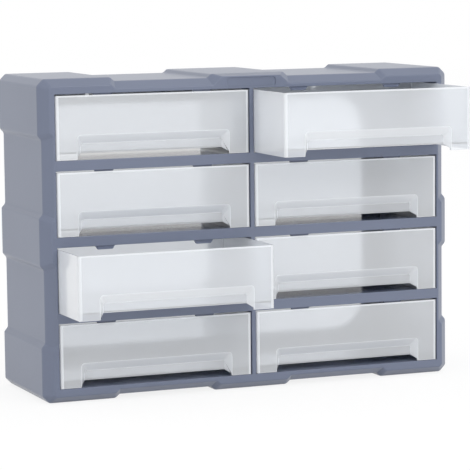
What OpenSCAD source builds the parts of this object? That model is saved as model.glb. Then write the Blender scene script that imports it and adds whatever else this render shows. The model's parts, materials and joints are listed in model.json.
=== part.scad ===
// Parts bin cabinet: a moulded casing with eight translucent drawers, two columns of four rows.
// Seen from the front, X runs to the right and Z up, and the front face looks along -Y.
// Z = 0 is the face that the casing stands on, and X = Y = 0 is the middle of its plan.
// The drawers of row 1 are at the top. Two drawers stand part open.

/* [Casing] */
// Width over the side blocks
casing_w = 520; // [440:1:640]
// Height over the top and bottom blocks
casing_h = 375; // [350:1:460]
// Depth from the front face to the back
casing_d = 160; // [130:1:220]
// Thickness of the outer skin
skin_t = 2.5; // [2:0.1:4]
// Thickness of the lining round the cells and of the skins of a shelf
lining_t = 2.2; // [1.6:0.1:3]
// Thickness of the ribs between the outer skin and the lining
rib_t = 2; // [1.5:0.1:4]

/* [Stacking blocks] */
// Depth of the recesses between the blocks
block_step = 4.5; // [2:0.1:6]
// Length of the slope from a block down to a recess
block_ramp = 5; // [3:0.1:8]
// Length of the middle block on the left and right sides
side_block = 55; // [40:1:90]
// Length of a recess on the left and right sides
side_recess = 85; // [60:1:90]
// Length of the middle block on the top and bottom
top_block = 92; // [80:1:140]
// Length of a recess on the top and bottom
top_recess = 115; // [70:1:130]
// Chamfer of the four outer corners
corner_chamfer = 8; // [4:0.5:12]

/* [Front frame] */
// Depth of the bevel round the front
bevel_d = 12; // [6:0.5:16]
// Width of the bevel at the left and right
bevel_side = 11; // [6:0.5:12]
// Width of the bevel at the top and bottom
bevel_top = 8.5; // [5:0.5:10]
// Thickness of the frame behind the bevel, up to the hollow between skin and lining
frame_back = 2; // [1:0.5:8]
// Width of the frame from the outline to the cells
margin = 17.5; // [17.5:0.5:24]

/* [Label boss] */
// Drop of the boss's front edge below the top of the casing
boss_drop = 3; // [2:0.5:5]
// Width of the bare label recess
label_w = 62; // [40:1:70]
// Height of the bare label recess
label_h = 11.5; // [10.5:0.5:12]
// Depth of the bare label recess
label_d = 1.2; // [0.5:0.1:1.8]
// Corner radius of the bare label recess
label_r = 4; // [1:0.5:5]

/* [Shelves and dividers] */
// Height of a shelf's front edge
shelf_t = 12; // [8:0.5:16]
// Thickness of the front wall of a shelf
shelf_front = 3; // [2:0.5:5]
// Thickness of the dividers between the columns
divider_t = 5; // [4:0.5:10]
// Depth of a divider above its guide rail
divider_d = 25; // [20:1:60]
// Height of the guide rail that runs on to the back
guide_h = 5; // [3:0.5:8]
// Thickness of the rim round the back opening
back_t = 3; // [2:0.5:5]
// Width of the back rim at the left and right
rim_side = 26.5; // [20:0.5:60]
// Width of the back rim at the top and bottom
rim_top = 22.5; // [20:0.5:50]
// Corner radius of the back opening
window_r = 40; // [10:1:60]
// Diameter of the two screw holes in the back rim
screw_d = 5.5; // [4:0.1:7]
// Distance between the two screw holes
screw_pitch = 300; // [200:1:330]
// Depth of the screw holes below the top of the lining
screw_drop = 10; // [8:0.5:11]

/* [Drawers] */
// Clearance at each side of a drawer
side_gap = 0.5; // [0.4:0.1:1.2]
// Clearance under a drawer
floor_gap = 0.3; // [0.2:0.1:0.5]
// Clearance above a drawer
top_gap = 1.8; // [0.6:0.1:3]
// Clearance between a closed drawer and the back rim
back_gap = 1.5; // [0.5:0.1:4]
// Amount that each side leans in towards the feet
side_taper = 0.2; // [0.2:0.1:2]
// Thickness of the front plate
plate_t = 2.2; // [1.8:0.1:3]
// Thickness of the sides, the back and the floor
wall_t = 1.8; // [1.4:0.1:2.5]
// Height of the floor's underside above the feet
floor_lift = 7; // [5:0.5:9]

/* [Finger pull] */
// Height of the top of the pull above the feet
pull_top = 28; // [24:0.5:34]
// Height of the top of the set-back face above the feet
pull_face_top = 18.5; // [14:0.5:22]
// Depth of the pull
pull_d = 8; // [5:0.5:12]
// Width of the post at each end of the pull
post_w = 25.5; // [18:0.5:27]
// Length of the slope at each end of the pull
pull_slope = 6; // [0.5:0.5:8]
// Width of the foot at each end of the finger notch
foot_w = 26; // [26:0.5:36]
// Length of the slope at each end of the finger notch
notch_slope = 6; // [4:0.5:16]
// Drop of the slope at each end of the finger notch
notch_drop = 4.5; // [1:0.5:4.5]

/* [Stops] */
// Width of a stop at the ceiling
stop_w = 24; // [16:0.5:30]
// Width of a stop at its lower edge
stop_tip = 18; // [12:0.5:24]
// Drop of a stop below the ceiling
stop_drop = 4.5; // [2:0.1:5]
// Thickness of a stop
stop_t = 4; // [2:0.5:6]
// Distance of a stop from the middle of its cell
stop_x = 61; // [40:1:80]
// Clearance between a stop and the front plate
stop_gap = 0.4; // [0.3:0.1:1]

/* [Rest position] */
// How far the right drawer of row 1 stands open
open_length_1_right = 90; // [0:1:110]
// How far the left drawer of row 3 stands open
open_length_3_left = 71; // [0:1:110]

/* [Hidden] */

rows = 4;
arc_fn = 64;
overcut = 1;
// The flat core of the front starts this many bevel widths in from the outline, and the band round it ends a little
// further in
core_inset = 1.1;
band_inset = 1.2;

casing_colour = [0.46, 0.49, 0.56];
drawer_colour = [0.87, 0.88, 0.92];

front_y = -casing_d / 2;
back_y = casing_d / 2;
bevel_y = front_y + bevel_d;
hollow_y = bevel_y + frame_back;
rim_y = back_y - back_t;

lining_w = casing_w - 2 * margin;
lining_h = casing_h - 2 * margin;
cell_w = (lining_w - divider_t) / 2;
cell_h = (lining_h - (rows - 1) * shelf_t) / rows;
cell_x = (divider_t + cell_w) / 2;
window_w = lining_w - 2 * rim_side;
window_h = lining_h - 2 * rim_top;

drawer_w = cell_w - 2 * side_gap;
drawer_h = cell_h - floor_gap - top_gap;
drawer_back = rim_y - back_gap;
pull_y = front_y + pull_d;

// Height of the floor of a row's cells
function cell_floor(row) = casing_h - margin - row * cell_h - (row - 1) * shelf_t;

// Half the width of a drawer at height z above its feet
function drawer_half(z) = drawer_w / 2 - side_taper * (1 - z / drawer_h);

// One side of the outline from end to end: [distance along, distance in]. The line is moved in by inset, and its
// middle block by block_inset along the same slopes.
function block_line(block, recess, inset, block_inset) =
    let (
        slide = inset * tan(atan2(block_step, block_ramp) / 2),
        near = block / 2 - slide,
        far = block / 2 + block_ramp + recess + slide,
        rise = inset - block_inset,
        half = [
            [near - rise * block_ramp / block_step, block_inset], [near + block_ramp, inset + block_step],
            [far, inset + block_step], [far + block_ramp, inset]
        ]
    )
    concat([for (i = [3:-1:0]) [-half[i][0], half[i][1]]], half);

// The lower half of the casing's outline in front view, moved in at the sides and at the bottom
function half_outline(inset_x, inset_z, block_inset) =
    let (
        half_w = casing_w / 2,
        half_h = casing_h / 2,
        cut = corner_chamfer + (inset_x + inset_z) / sqrt(2),
        corner_x = half_w - cut + inset_z,
        corner_z = half_h - cut + inset_x
    )
    concat(
        [[-corner_x, inset_z]],
        block_line(top_block, top_recess, inset_z, block_inset),
        [[corner_x, inset_z], [half_w - inset_x, half_h - corner_z]],
        [for (p = block_line(side_block, side_recess, inset_x, inset_x)) [half_w - p[1], half_h + p[0]]],
        [[half_w - inset_x, half_h + corner_z]]
    );

// The casing's outline, with the middle block of its top moved in by its own amount
function outline(inset_x, inset_z, top_inset) =
    concat(
        half_outline(inset_x, inset_z, inset_z),
        [for (p = half_outline(inset_x, inset_z, top_inset)) [-p[0], casing_h - p[1]]]
    );

// The casing's outline, moved in by a number of bevel widths
function even_outline(widths) = outline(bevel_side * widths, bevel_top * widths, bevel_top * widths);

// Draws a front view shape between two depths
module along_y(y0, y1) {
    translate([0, y1, 0]) rotate([90, 0, 0]) linear_extrude(y1 - y0) children();
}

// Draws a shape of [depth, height] points across a width, centred on X = 0
module along_x(w) {
    translate([-w / 2, 0, 0]) rotate([90, 0, 90]) linear_extrude(w) children();
}

// A rectangle with round corners, centred
module rounded_rect(w, h, r) {
    square([w - 2 * r, h], center = true);
    square([w, h - 2 * r], center = true);
    for (x = [-1, 1], z = [-1, 1])
        translate([x * (w / 2 - r), z * (h / 2 - r)]) circle(r, $fn = arc_fn);
}

// The casing as a full block with a sloped front edge: a band round a flat core. The slope is short at the middle
// of the top, where the front rises to the label boss.
module block() {
    edge = outline(0, 0, 0);
    front = outline(bevel_side, bevel_top, boss_drop);
    inner = even_outline(band_inset);
    loops = [
        [for (p = edge) [p[0], back_y, p[1]]],
        [for (p = edge) [p[0], bevel_y, p[1]]],
        [for (p = front) [p[0], front_y, p[1]]],
        [for (p = inner) [p[0], front_y, p[1]]],
        [for (p = inner) [p[0], back_y, p[1]]]
    ];
    turns = len(loops);
    n = len(edge);
    faces = [
        for (k = [0:turns - 1], i = [0:n - 1])
            let (j = (i + 1) % n, here = k * n, next = (k + 1) % turns * n)
            [here + i, next + i, next + j, here + j]
    ];
    polyhedron([for (loop = loops) each loop], faces);
    along_y(front_y, back_y) polygon(even_outline(core_inset));
}

// The space of the label recess, centred on the flat of the top front edge
module label_cut() {
    flat_mid = casing_h - (margin + boss_drop) / 2;
    translate([0, 0, flat_mid])
        along_y(front_y - overcut, front_y + label_d) rounded_rect(label_w, label_h, label_r);
}

// The hollow between the outer skin and the lining, open at the back and crossed by ribs
module hollow() {
    along_y(hollow_y, back_y + overcut)
        difference() {
            polygon(outline(skin_t, skin_t, skin_t));
            translate([-lining_w / 2 - lining_t, margin - lining_t])
                square([lining_w + 2 * lining_t, lining_h + 2 * lining_t]);
            for (row = [1:rows - 1])
                translate([-casing_w / 2, cell_floor(row) - (shelf_t + rib_t) / 2])
                    square([casing_w, rib_t]);
            for (x = [-cell_x, 0, cell_x])
                translate([x - rib_t / 2, 0]) square([rib_t, casing_h]);
        }
}

// The whole ring of walls round the cells
module casing_ring() {
    difference() {
        block();
        label_cut();
        hollow();
    }
}

// The part of the ring inside a box of the front view
module ring_part(x, z, w, h) {
    color(casing_colour)
        intersection() {
            casing_ring();
            translate([x, front_y - overcut, z]) cube([w, casing_d + 2 * overcut, h]);
        }
}

// Left wall of the casing, over its full height
module left_side() {
    ring_part(-casing_w / 2 - overcut, -overcut, margin + overcut, casing_h + 2 * overcut);
}

// Right wall of the casing, over its full height
module right_side() {
    ring_part(lining_w / 2, -overcut, margin + overcut, casing_h + 2 * overcut);
}

// Top wall between the sides, with the stops of row 1
module top_panel() {
    ring_part(-lining_w / 2, casing_h - margin, lining_w, margin + overcut);
    stops(casing_h - margin);
}

// Bottom wall between the sides
module bottom_panel() {
    ring_part(-lining_w / 2, -overcut, lining_w, margin + overcut);
}

// The four drawer stops that hang from a ceiling at height z, rooted in its lining
module stops(z) {
    stop_y = front_y + plate_t + stop_gap;
    root = lining_t / 2;
    color(casing_colour)
        for (column = [-1, 1], side = [-1, 1])
            translate([column * cell_x + side * stop_x, 0, z])
                along_y(stop_y, stop_y + stop_t)
                    polygon([
                        [-stop_w / 2, root], [-stop_w / 2, 0], [-stop_tip / 2, -stop_drop],
                        [stop_tip / 2, -stop_drop], [stop_w / 2, 0], [stop_w / 2, root]
                    ]);
}

// The shelf under a row, hollow from the back, with the stops of the row below it
module shelf(row) {
    top_z = cell_floor(row);
    pocket_w = (window_w - divider_t) / 2;
    color(casing_colour)
        difference() {
            translate([-lining_w / 2, front_y, top_z - shelf_t])
                cube([lining_w, rim_y - front_y, shelf_t]);
            for (side = [-1, 1])
                translate([side * (divider_t + pocket_w) / 2 - pocket_w / 2, front_y + shelf_front,
                           top_z - shelf_t + lining_t])
                    cube([pocket_w, casing_d, shelf_t - 2 * lining_t]);
        }
    stops(top_z - shelf_t);
}

// The short upright wall between the two cells of a row, with the guide rail behind it
module divider(row) {
    color(casing_colour)
        translate([-divider_t / 2, front_y, cell_floor(row)]) {
            cube([divider_t, divider_d, cell_h]);
            cube([divider_t, rim_y - front_y, guide_h]);
        }
}

// The rim round the back opening, with two screw holes in its top
module back_rim() {
    color(casing_colour)
        difference() {
            translate([-lining_w / 2, rim_y, margin]) cube([lining_w, back_t, lining_h]);
            translate([0, 0, casing_h / 2])
                along_y(rim_y - overcut, back_y + overcut) rounded_rect(window_w, window_h, window_r);
            for (side = [-1, 1])
                translate([side * screw_pitch / 2, back_y + overcut, casing_h - margin - screw_drop])
                    rotate([90, 0, 0]) cylinder(h = back_t + 2 * overcut, d = screw_d, $fn = arc_fn);
        }
}

// Front view of a drawer between two heights, set in from its outer faces
module drawer_section(z0, z1, inset) {
    polygon([
        [-drawer_half(z0) + inset, z0], [drawer_half(z0) - inset, z0],
        [drawer_half(z1) - inset, z1], [-drawer_half(z1) + inset, z1]
    ]);
}

// The space of the finger pull, or with a wall the wedge that lines it inside the drawer
module pull_space(wall, low_z) {
    lead = wall > 0 ? 0 : overcut;
    rise = (pull_top - pull_face_top) / pull_d;
    run = pull_slope / pull_d;
    front_half = drawer_half(0) - post_w + wall;
    intersection() {
        along_x(drawer_w)
            polygon([
                [front_y - lead, low_z], [front_y - lead, pull_top + lead * rise + wall],
                [pull_y + wall, pull_face_top - wall * rise + wall], [pull_y + wall, low_z]
            ]);
        translate([0, 0, low_z])
            linear_extrude(drawer_h)
                polygon([
                    [-front_half - lead * run, front_y - lead],
                    [front_half + lead * run, front_y - lead],
                    [front_half - (pull_d + wall) * run, pull_y + wall],
                    [-front_half + (pull_d + wall) * run, pull_y + wall]
                ]);
    }
}

// The opening under the pull between the two feet
module finger_notch() {
    half = drawer_half(0) - foot_w;
    along_y(front_y - overcut, pull_y + wall_t + overcut)
        polygon([
            [-half, -overcut], [half, -overcut], [half, floor_lift - notch_drop],
            [half - notch_slope, floor_lift], [-half + notch_slope, floor_lift], [-half, floor_lift - notch_drop]
        ]);
}

// A drawer, open by the given distance
module drawer(column, row, open) {
    inside_z = floor_lift + wall_t;
    color(drawer_colour)
        translate([column * cell_x, -open, cell_floor(row) + floor_gap])
            difference() {
                union() {
                    difference() {
                        along_y(front_y, drawer_back) drawer_section(0, drawer_h, 0);
                        along_y(front_y + plate_t, drawer_back - wall_t)
                            drawer_section(inside_z, drawer_h + overcut, wall_t);
                        along_y(front_y + plate_t, drawer_back + overcut)
                            drawer_section(-overcut, floor_lift, wall_t);
                    }
                    pull_space(wall_t, 0);
                }
                pull_space(0, -overcut);
                finger_notch();
            }
}

left_side();
right_side();
top_panel();
bottom_panel();
shelf(1);  // upper_shelf
shelf(2);  // middle_shelf
shelf(3);  // lower_shelf
divider(1);  // divider_row_1
divider(2);  // divider_row_2
divider(3);  // divider_row_3
divider(4);  // divider_row_4
back_rim();
drawer(-1, 1, 0);  // drawer_row_1_left
drawer(1, 1, open_length_1_right);  // drawer_row_1_right
drawer(-1, 2, 0);  // drawer_row_2_left
drawer(1, 2, 0);  // drawer_row_2_right
drawer(-1, 3, open_length_3_left);  // drawer_row_3_left
drawer(1, 3, 0);  // drawer_row_3_right
drawer(-1, 4, 0);  // drawer_row_4_left
drawer(1, 4, 0);  // drawer_row_4_right
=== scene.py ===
import json
import math

import bmesh
import bpy
from mathutils import Matrix, Vector


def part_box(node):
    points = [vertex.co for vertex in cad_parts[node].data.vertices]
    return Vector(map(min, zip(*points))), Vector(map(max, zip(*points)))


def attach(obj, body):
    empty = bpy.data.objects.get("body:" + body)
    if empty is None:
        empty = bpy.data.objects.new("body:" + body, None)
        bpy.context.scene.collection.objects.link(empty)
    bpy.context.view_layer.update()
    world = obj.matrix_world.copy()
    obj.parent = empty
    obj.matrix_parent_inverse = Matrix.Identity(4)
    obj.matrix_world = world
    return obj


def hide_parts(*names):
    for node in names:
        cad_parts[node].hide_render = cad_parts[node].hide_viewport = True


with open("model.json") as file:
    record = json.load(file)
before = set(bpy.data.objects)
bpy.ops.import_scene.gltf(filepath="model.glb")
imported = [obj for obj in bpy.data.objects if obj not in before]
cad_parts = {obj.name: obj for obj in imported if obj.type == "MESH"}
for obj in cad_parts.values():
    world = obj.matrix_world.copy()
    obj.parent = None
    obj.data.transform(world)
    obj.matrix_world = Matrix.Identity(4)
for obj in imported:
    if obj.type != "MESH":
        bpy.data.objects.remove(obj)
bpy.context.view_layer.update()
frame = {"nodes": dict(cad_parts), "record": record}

# The parts bin cabinet is two kinds of moulding: one grey casing, which the frame holds as twelve solids that
# meet face to face, and eight translucent drawers. Each moulding becomes one piece, with its edges rounded as
# a mould leaves them.

MM = 0.001
BODIES = frame["record"]["behaviour"]["bodies"]
CASING_NODES = BODIES["casing"]
DRAWER_NODES = sorted(name for name in BODIES if name != "casing")
DIVIDER_NODES = [name for name in CASING_NODES if name.startswith("divider")]

# Where the casing's front, cells and hollow walls are, read from the frame
CASING_LOW, CASING_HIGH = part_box("left_side")[0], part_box("right_side")[1]
CELLS_LOW = Vector((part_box("left_side")[1].x, 0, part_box("bottom_panel")[1].z))
CELLS_HIGH = Vector((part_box("right_side")[0].x, 0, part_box("divider_row_1")[1].z))
FRONT_Y = CASING_LOW.y
MARGIN = CELLS_LOW.x - CASING_LOW.x
SKIN = 7.5 * MM
LABEL_HALF, LABEL_LOW, LABEL_HIGH = 33 * MM, CELLS_HIGH.z + 1 * MM, CASING_HIGH.z - 4 * MM
BOSS_HALF = 40 * MM
SCREW_X = frame["record"]["mounts"][-1]["dims"]["spacing_x_mm"] * MM / 2

# Radii of the moulded edges. Beside a recess the front frame is only 2 mm wide, so the radii of its two edges
# have to fit in that width.
OUTER_EDGE = 1.8 * MM
FRONT_EDGE = 1.2 * MM
OPENING_EDGE = 0.7 * MM
SMALL_EDGE = 0.4 * MM
BOSS_EDGE = 0.9 * MM
DRAWER_EDGE = 0.5 * MM
PULL_CORNER = 3 * MM
PLATE_CORNER = 3.5 * MM
# Widths of the bands along a front plate's sides, where it covers the ends of the walls, and along its top
SIDE_BAND = 4 * MM
RIM_BAND = 1.8 * MM
# Depths behind a drawer's front face that hold its plate and its finger pull, and levels over its feet just
# above the notch and the pull
PLATE_DEPTH = 3 * MM
PULL_DEPTH = 10 * MM
NOTCH_LEVEL = 10 * MM
PULL_LEVEL = 30 * MM
# A span or a distance under SHORT counts as none, and an upright edge over CORNER_LENGTH is part of a corner
SHORT = 2 * MM
CORNER_LENGTH = 10 * MM

SHARP = math.radians(20)
FLAT = math.radians(0.4)
# Parts of a face's normal: over SQUARE along the axis that it faces, over ASLANT along each that it leans to
SQUARE = 0.99
ASLANT = 0.3
WELD = 0.01 * MM
NEAR = 5 * WELD


# ---- Shapes ----

def copy_of(node, name):
    """A new object with the mesh of a CAD node, its loose triangles merged."""
    solid = bmesh.new()
    solid.from_mesh(frame["nodes"][node].data)
    bmesh.ops.remove_doubles(solid, verts=solid.verts, dist=WELD)
    mesh = bpy.data.meshes.new(name)
    solid.to_mesh(mesh)
    solid.free()
    mesh.materials.clear()
    piece = bpy.data.objects.new(name, mesh)
    bpy.context.scene.collection.objects.link(piece)
    return piece


def apply_modifiers(piece):
    """The piece's mesh as its modifiers leave it."""
    view = bpy.context.evaluated_depsgraph_get()
    view.update()
    mesh = bpy.data.meshes.new_from_object(piece.evaluated_get(view))
    piece.modifiers.clear()
    piece.data = mesh


def joined(names, name):
    """One solid of CAD nodes that meet face to face."""
    whole = copy_of(names[0], name)
    others = [copy_of(node, node + "_part") for node in names[1:]]
    for other in others:
        join = whole.modifiers.new("join", "BOOLEAN")
        join.operation = "UNION"
        join.solver = "EXACT"
        join.object = other
    apply_modifiers(whole)
    for other in others:
        bpy.data.objects.remove(other)
    return whole


def split_at(solid, axis, places):
    """Cuts the faces along planes square to an axis, so that no flat face keeps a hole in it. The cuts become
    seams, which merging keeps, but not the edges inside a face that lies in the plane itself."""
    square = Vector([float(i == axis) for i in range(3)])
    for place in places:
        everything = solid.verts[:] + solid.edges[:] + solid.faces[:]
        cut = bmesh.ops.bisect_plane(solid, geom=everything, dist=WELD / 4,
                                     plane_co=square * place, plane_no=square)
        for edge in cut["geom_cut"]:
            if isinstance(edge, bmesh.types.BMEdge):
                edge.seam = edge.seam or any(abs(face.normal[axis]) < SQUARE for face in edge.link_faces)


def merge_flats(solid, splits):
    """Faces that lie in one plane become one face, between the given splits."""
    bmesh.ops.triangulate(solid, faces=solid.faces)
    bmesh.ops.remove_doubles(solid, verts=solid.verts, dist=WELD)
    for axis, places in splits.items():
        split_at(solid, axis, places)
    bmesh.ops.dissolve_limit(solid, angle_limit=FLAT, verts=solid.verts, edges=solid.edges, delimit={"SEAM"})


def round_edges(piece, splits, radius_of, largest, segments):
    """Rounds each sharp edge to the radius that radius_of gives for it."""
    solid = bmesh.new()
    solid.from_mesh(piece.data)
    merge_flats(solid, splits)
    weights = solid.edges.layers.float.new("bevel_weight_edge")
    for edge in solid.edges:
        if edge.is_manifold and edge.calc_face_angle() > SHARP:
            edge[weights] = radius_of(edge) / largest
    for face in solid.faces:
        face.smooth = True
    solid.to_mesh(piece.data)
    solid.free()
    rounding = piece.modifiers.new("rounding", "BEVEL")
    rounding.width = largest
    rounding.segments = segments
    rounding.limit_method = "WEIGHT"
    rounding.use_clamp_overlap = False
    rounding.face_strength_mode = "FSTR_AFFECTED"
    rounding.miter_outer = "MITER_ARC"
    level = piece.modifiers.new("flat_faces_stay_flat", "WEIGHTED_NORMAL")
    level.use_face_influence = True
    level.keep_sharp = True


def in_cells(point, reach=0.0):
    """True inside the walls of the cells, seen from the front, or within reach of them."""
    return (CELLS_LOW.x - reach < point.x < CELLS_HIGH.x + reach
            and CELLS_LOW.z - reach < point.z < CELLS_HIGH.z + reach)


def casing_radius(edge):
    """Radius of one of the casing's edges, by where it is."""
    a, b = (vert.co for vert in edge.verts)
    middle = (a + b) / 2
    if in_cells(middle, NEAR):
        return OPENING_EDGE if max(a.y, b.y) < FRONT_Y + WELD else SMALL_EDGE
    in_label = abs(middle.x) < LABEL_HALF and LABEL_LOW < middle.z < LABEL_HIGH
    if in_label or min(a.y, b.y) > CASING_HIGH.y - WELD:
        return SMALL_EDGE
    if max(a.y, b.y) < FRONT_Y + WELD:
        return BOSS_EDGE if abs(middle.x) < BOSS_HALF and middle.z > LABEL_HIGH else FRONT_EDGE
    in_hollow = in_cells(middle, MARGIN - SKIN - WELD) and middle.y > FRONT_Y + WELD
    return SMALL_EDGE if in_hollow else OUTER_EDGE


# ---- Materials ----

# Sizes of the patterns: the casing's grain, and the wide streaks that the plastic leaves where it flowed
SPARK_GRAIN, GRAIN_DEPTH = 1.6 * MM, 0.03 * MM
CASING_FLOW, CELL_FLOW = 90 * MM, 60 * MM
DRAWER_FLOW, DRAWER_FLOW_HEIGHT = 120 * MM, 20 * MM
POLYPROPYLENE_IOR = 1.49


def linear(hex_colour):
    """An sRGB hex colour as linear light."""
    parts = [int(hex_colour[i:i + 2], 16) / 255 for i in (1, 3, 5)]
    return [c / 12.92 if c <= 0.04045 else ((c + 0.055) / 1.055) ** 2.4 for c in parts] + [1]


def add(tree, kind, settings=None, **links):
    """A node with its settings and its linked or set inputs, which are named, or numbered as i0 and i1."""
    node = tree.nodes.new(kind)
    for key, value in (settings or {}).items():
        setattr(node, key, value)
    for key, value in links.items():
        numbered = key[0] == "i" and key[1:].isdigit()
        socket = node.inputs[int(key[1:]) if numbered else key.replace("_", " ")]
        if isinstance(value, bpy.types.NodeSocket):
            tree.links.new(value, socket)
        else:
            socket.default_value = value
    return node


def new_material(name):
    material = bpy.data.materials.new(name)
    material.use_nodes = True
    material.node_tree.nodes.clear()
    return material, material.node_tree


def satin_moulded_polypropylene():
    """Polypropylene from a spark-eroded mould: an even grey-blue, its shine broken up by a fine grain."""
    material, tree = new_material("satin_moulded_polypropylene")
    place = add(tree, "ShaderNodeTexCoord").outputs["Object"]
    grain = add(tree, "ShaderNodeTexNoise", Vector=place, Scale=1 / SPARK_GRAIN, Detail=2.0, Roughness=0.6)
    flow = add(tree, "ShaderNodeTexNoise", Vector=place, Scale=1 / CASING_FLOW, Detail=1.0)
    shade = add(tree, "ShaderNodeMix", {"data_type": "RGBA"}, Factor=flow.outputs["Fac"])
    shade.inputs["A"].default_value = linear("#70788d")
    shade.inputs["B"].default_value = linear("#767e93")
    gloss = add(tree, "ShaderNodeMapRange", Value=grain.outputs["Fac"])
    gloss.inputs["To Min"].default_value = 0.26
    gloss.inputs["To Max"].default_value = 0.36
    bump = add(tree, "ShaderNodeBump", Height=grain.outputs["Fac"], Strength=0.12, Distance=GRAIN_DEPTH)
    shader = add(tree, "ShaderNodeBsdfPrincipled", Roughness=gloss.outputs["Result"],
                 Normal=bump.outputs["Normal"])
    tree.links.new(shade.outputs["Result"], shader.inputs["Base Color"])
    shader.inputs["IOR"].default_value = POLYPROPYLENE_IOR
    add(tree, "ShaderNodeOutputMaterial", Surface=shader.outputs["BSDF"])
    return material


def smooth_moulded_polypropylene():
    """The same polypropylene from a polished core: the cells' walls mirror the light behind at low angles."""
    material, tree = new_material("smooth_moulded_polypropylene")
    place = add(tree, "ShaderNodeTexCoord").outputs["Object"]
    flow = add(tree, "ShaderNodeTexNoise", Vector=place, Scale=1 / CELL_FLOW, Detail=2.0)
    gloss = add(tree, "ShaderNodeMapRange", Value=flow.outputs["Fac"])
    gloss.inputs["To Min"].default_value = 0.03
    gloss.inputs["To Max"].default_value = 0.05
    shader = add(tree, "ShaderNodeBsdfPrincipled", Roughness=gloss.outputs["Result"])
    shader.inputs["Base Color"].default_value = linear("#6e768c")
    shader.inputs["IOR"].default_value = POLYPROPYLENE_IOR
    add(tree, "ShaderNodeOutputMaterial", Surface=shader.outputs["BSDF"])
    return material


def natural_polypropylene(name, clear):
    """Natural polypropylene, injection moulded: milky, it shows what is behind it blurred and in white. The
    share of the light called clear goes through it, and hardly bends, as in any thin wall."""
    material, tree = new_material(name)
    place = add(tree, "ShaderNodeTexCoord").outputs["Object"]
    stretch = add(tree, "ShaderNodeMapping", Vector=place)
    stretch.inputs["Scale"].default_value = (1, 1, DRAWER_FLOW / DRAWER_FLOW_HEIGHT)
    streaks = stretch.outputs["Vector"]
    flow = add(tree, "ShaderNodeTexNoise", Vector=streaks, Scale=1 / DRAWER_FLOW, Detail=3.0)
    haze = add(tree, "ShaderNodeMapRange", Value=flow.outputs["Fac"])
    haze.inputs["To Min"].default_value = 0.22
    haze.inputs["To Max"].default_value = 0.28
    # The milk of a wall's whole thickness is where light enters it, and it leaves freely
    leaving = add(tree, "ShaderNodeNewGeometry").outputs["Backfacing"]
    clearness = add(tree, "ShaderNodeMapRange", Value=leaving)
    clearness.inputs["To Min"].default_value = clear
    clearness.inputs["To Max"].default_value = 1.0
    wall = add(tree, "ShaderNodeBsdfPrincipled", Roughness=haze.outputs["Result"])
    tree.links.new(clearness.outputs["Result"], wall.inputs["Transmission Weight"])
    wall.inputs["Base Color"].default_value = linear("#f8fbff")
    wall.inputs["IOR"].default_value = 1.15
    wall.inputs["Coat Weight"].default_value = 1.0
    wall.inputs["Coat Roughness"].default_value = 0.1
    add(tree, "ShaderNodeOutputMaterial", Surface=wall.outputs["BSDF"])
    return material


# ---- The cabinet ----

SATIN = satin_moulded_polypropylene()
SMOOTH = smooth_moulded_polypropylene()
NATURAL = natural_polypropylene("natural_polypropylene_wall", 0.5)
NATURAL_THICK = natural_polypropylene("natural_polypropylene_edge", 0.2)
NATURAL_SIDE = natural_polypropylene("natural_polypropylene_side", 0.2)

# Places of these materials on the casing and on a drawer
OUTSIDE, INSIDE = 0, 1
WALL, EDGE, SIDE = 0, 1, 2


def make_casing():
    casing = joined(CASING_NODES, "moulded_casing")
    levels = {CELLS_LOW.z, CELLS_HIGH.z}
    for node in DIVIDER_NODES:
        low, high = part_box(node)
        levels |= {low.z, high.z}
    across = [CELLS_LOW.x, -SCREW_X, low.x, high.x, SCREW_X, CELLS_HIGH.x]
    round_edges(casing, {0: across, 2: sorted(levels)}, casing_radius, OUTER_EDGE, 3)
    casing.data.materials.clear()
    casing.data.materials.append(SATIN)
    casing.data.materials.append(SMOOTH)
    for face in casing.data.polygons:
        in_a_cell = in_cells(face.center) and face.center.y > FRONT_Y + WELD
        face.material_index = INSIDE if in_a_cell else OUTSIDE
    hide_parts(*CASING_NODES)
    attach(casing, "casing")


def drawer_sizes(node):
    """Middle and corners of a drawer, and its half widths at the feet and at the top, from its CAD mesh."""
    low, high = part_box(node)
    middle = (low.x + high.x) / 2
    feet = [abs(v.co.x - middle) for v in frame["nodes"][node].data.vertices if v.co.z < low.z + WELD]
    return middle, low, high, max(feet), (high.x - low.x) / 2


def split_rims(piece, node):
    """Cuts the front plate where it covers the ends of the walls and along its top, and gives each face its
    thickness of plastic."""
    middle, low, high, half_feet, half_top = drawer_sizes(node)
    lean = math.atan2(half_top - half_feet, high.z - low.z)
    planes = [(Vector((middle, low.y, high.z - RIM_BAND)), Vector((0, 0, 1)))]
    for side in (-1, 1):
        planes.append((Vector((middle + side * (half_top - SIDE_BAND), low.y, high.z)),
                       Vector((math.cos(lean), 0, -side * math.sin(lean)))))
    solid = bmesh.new()
    solid.from_mesh(piece.data)
    for place, square in planes:
        plate = [face for face in solid.faces
                 if abs(face.normal.y) > SQUARE and face.calc_center_median().y < low.y + PLATE_DEPTH]
        around = {item for face in plate for item in (*face.verts, *face.edges, face)}
        bmesh.ops.bisect_plane(solid, geom=list(around), dist=WELD, plane_co=place, plane_no=square)
    for face in solid.faces:
        point = face.calc_center_median()
        half = half_top - (high.z - point.z) * math.tan(lean)
        plate = point.y < low.y + PLATE_DEPTH and abs(face.normal.y) > SQUARE
        over_wall = plate and (abs(point.x - middle) > half - SIDE_BAND or point.z > high.z - RIM_BAND)
        top = face.normal.z > SQUARE and point.z > high.z - WELD
        in_pull = sum(abs(part) > ASLANT for part in face.normal) > 1
        side = abs(face.normal.x) > SQUARE and point.y > low.y + PULL_DEPTH
        face.material_index = EDGE if over_wall or top or in_pull else SIDE if side else WALL
    solid.to_mesh(piece.data)
    solid.free()


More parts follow.
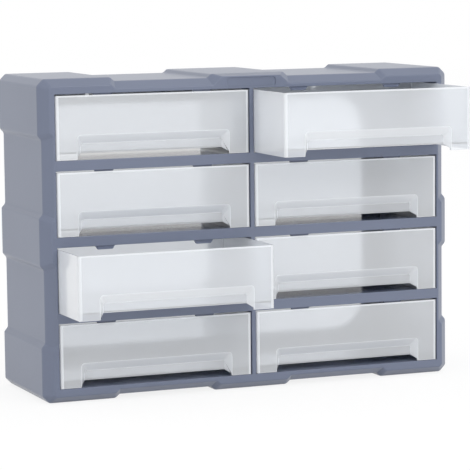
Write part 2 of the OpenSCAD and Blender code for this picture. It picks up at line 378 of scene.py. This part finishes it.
def drawer_radius(edge, low, high):
    """Radius of one of a drawer's edges: rounder up the sides of the front, and in the corners of the finger
    pull, whose edges run aslant in all directions."""
    a, b = (vert.co for vert in edge.verts)
    from_side = min(a.x - low.x, b.x - low.x, high.x - a.x, high.x - b.x)
    if max(a.y, b.y) < low.y + WELD and from_side < SHORT and abs(b.z - a.z) > CORNER_LENGTH:
        return PLATE_CORNER
    over_notch = min(a.z, b.z) > low.z + NOTCH_LEVEL
    return PULL_CORNER if over_notch and min(abs(span) for span in b - a) > SHORT else DRAWER_EDGE


def make_drawer(node):
    drawer = copy_of(node, "moulded_" + node)
    low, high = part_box(node)
    middle = (low + high) / 2
    splits = {0: [middle.x], 1: [middle.y], 2: [low.z + PULL_LEVEL]}
    round_edges(drawer, splits, lambda edge: drawer_radius(edge, low, high), PLATE_CORNER, 4)
    split_rims(drawer, node)
    drawer.modifiers["rounding"].material = EDGE
    drawer.data.materials.append(NATURAL)
    drawer.data.materials.append(NATURAL_THICK)
    drawer.data.materials.append(NATURAL_SIDE)
    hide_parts(node)
    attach(drawer, node)


make_casing()
for node in DRAWER_NODES:
    make_drawer(node)


# ---- Studio ----

FLOOR_SIZE = 14
FLOOR_DROP = 0.1 * MM
# The floor is paper that takes shadows, with a share of white light so that it meets the background unseen
WHITE_SHARE, WHITE_LIGHT = 0.8, 1.05


def sees_background(tree):
    """1 for rays that show the background: from the camera, from gloss and through clear walls."""
    path = add(tree, "ShaderNodeLightPath")
    camera_or_gloss = add(tree, "ShaderNodeMath", {"operation": "MAXIMUM"},
                          i0=path.outputs["Is Camera Ray"], i1=path.outputs["Is Glossy Ray"])
    return add(tree, "ShaderNodeMath", {"operation": "MAXIMUM"},
               i0=camera_or_gloss.outputs[0], i1=path.outputs["Is Transmission Ray"]).outputs[0]


def make_floor():
    solid = bmesh.new()
    bmesh.ops.create_grid(solid, x_segments=1, y_segments=1, size=FLOOR_SIZE / 2,
                          matrix=Matrix.Translation((0, 0, -FLOOR_DROP)))
    mesh = bpy.data.meshes.new("studio_floor")
    solid.to_mesh(mesh)
    solid.free()
    floor = bpy.data.objects.new("studio_floor", mesh)
    bpy.context.scene.collection.objects.link(floor)
    material, tree = new_material("white_sweep")
    paper = add(tree, "ShaderNodeBsdfDiffuse")
    paper.inputs["Color"].default_value = linear("#f0f0f0")
    white = add(tree, "ShaderNodeEmission", Strength=WHITE_LIGHT)
    share = add(tree, "ShaderNodeMath", {"operation": "MULTIPLY"}, i0=sees_background(tree), i1=WHITE_SHARE)
    mix = add(tree, "ShaderNodeMixShader", Fac=share.outputs[0], i1=paper.outputs[0], i2=white.outputs[0])
    add(tree, "ShaderNodeOutputMaterial", Surface=mix.outputs[0])
    mesh.materials.append(material)


def make_world():
    world = bpy.data.worlds.new("white_studio")
    bpy.context.scene.world = world
    world.use_nodes = True
    tree = world.node_tree
    tree.nodes.clear()
    level = add(tree, "ShaderNodeMapRange", Value=sees_background(tree))
    level.inputs["To Min"].default_value = 0.88
    level.inputs["To Max"].default_value = 1.0
    light = add(tree, "ShaderNodeBackground", Strength=level.outputs["Result"])
    light.inputs["Color"].default_value = (1, 1, 1, 1)
    add(tree, "ShaderNodeOutputWorld", Surface=light.outputs[0])


def make_softbox(name, place, target, size, power):
    light = bpy.data.lights.new(name, "AREA")
    light.shape = "RECTANGLE"
    light.size, light.size_y = size
    light.energy = power
    lamp = bpy.data.objects.new(name, light)
    lamp.location = place
    lamp.rotation_euler = (Vector(target) - Vector(place)).to_track_quat("-Z", "Y").to_euler()
    bpy.context.scene.collection.objects.link(lamp)


def make_camera():
    """The camera that the photograph was taken with, found from the cabinet's corners in it."""
    yaw, pitch, roll = -0.3863956, -0.1132488, 0.0117042
    place = Vector((-1108.559, -2748.211, 512.761)) * MM
    focal_pixels, frame_pixels, sensor = 2461.245, 470, 36
    camera = bpy.data.cameras.new("camera")
    camera.sensor_width = sensor
    camera.lens = focal_pixels / frame_pixels * sensor
    camera.clip_start, camera.clip_end = 0.1, 60
    eye = bpy.data.objects.new("camera", camera)
    turn = Matrix.Rotation(yaw, 4, "Z") @ Matrix.Rotation(pitch, 4, "X") @ Matrix.Rotation(roll, 4, "Y")
    eye.matrix_world = Matrix.Translation(place) @ turn @ Matrix.Rotation(math.pi / 2, 4, "X")
    bpy.context.scene.collection.objects.link(eye)
    bpy.context.scene.camera = eye


make_floor()
make_world()
make_softbox("front_softbox", place=(0.5, -2.6, 2.2), target=(0, 0, 0.15), size=(2.0, 1.4), power=22)
make_camera()
bpy.context.scene.view_settings.view_transform = "Standard"
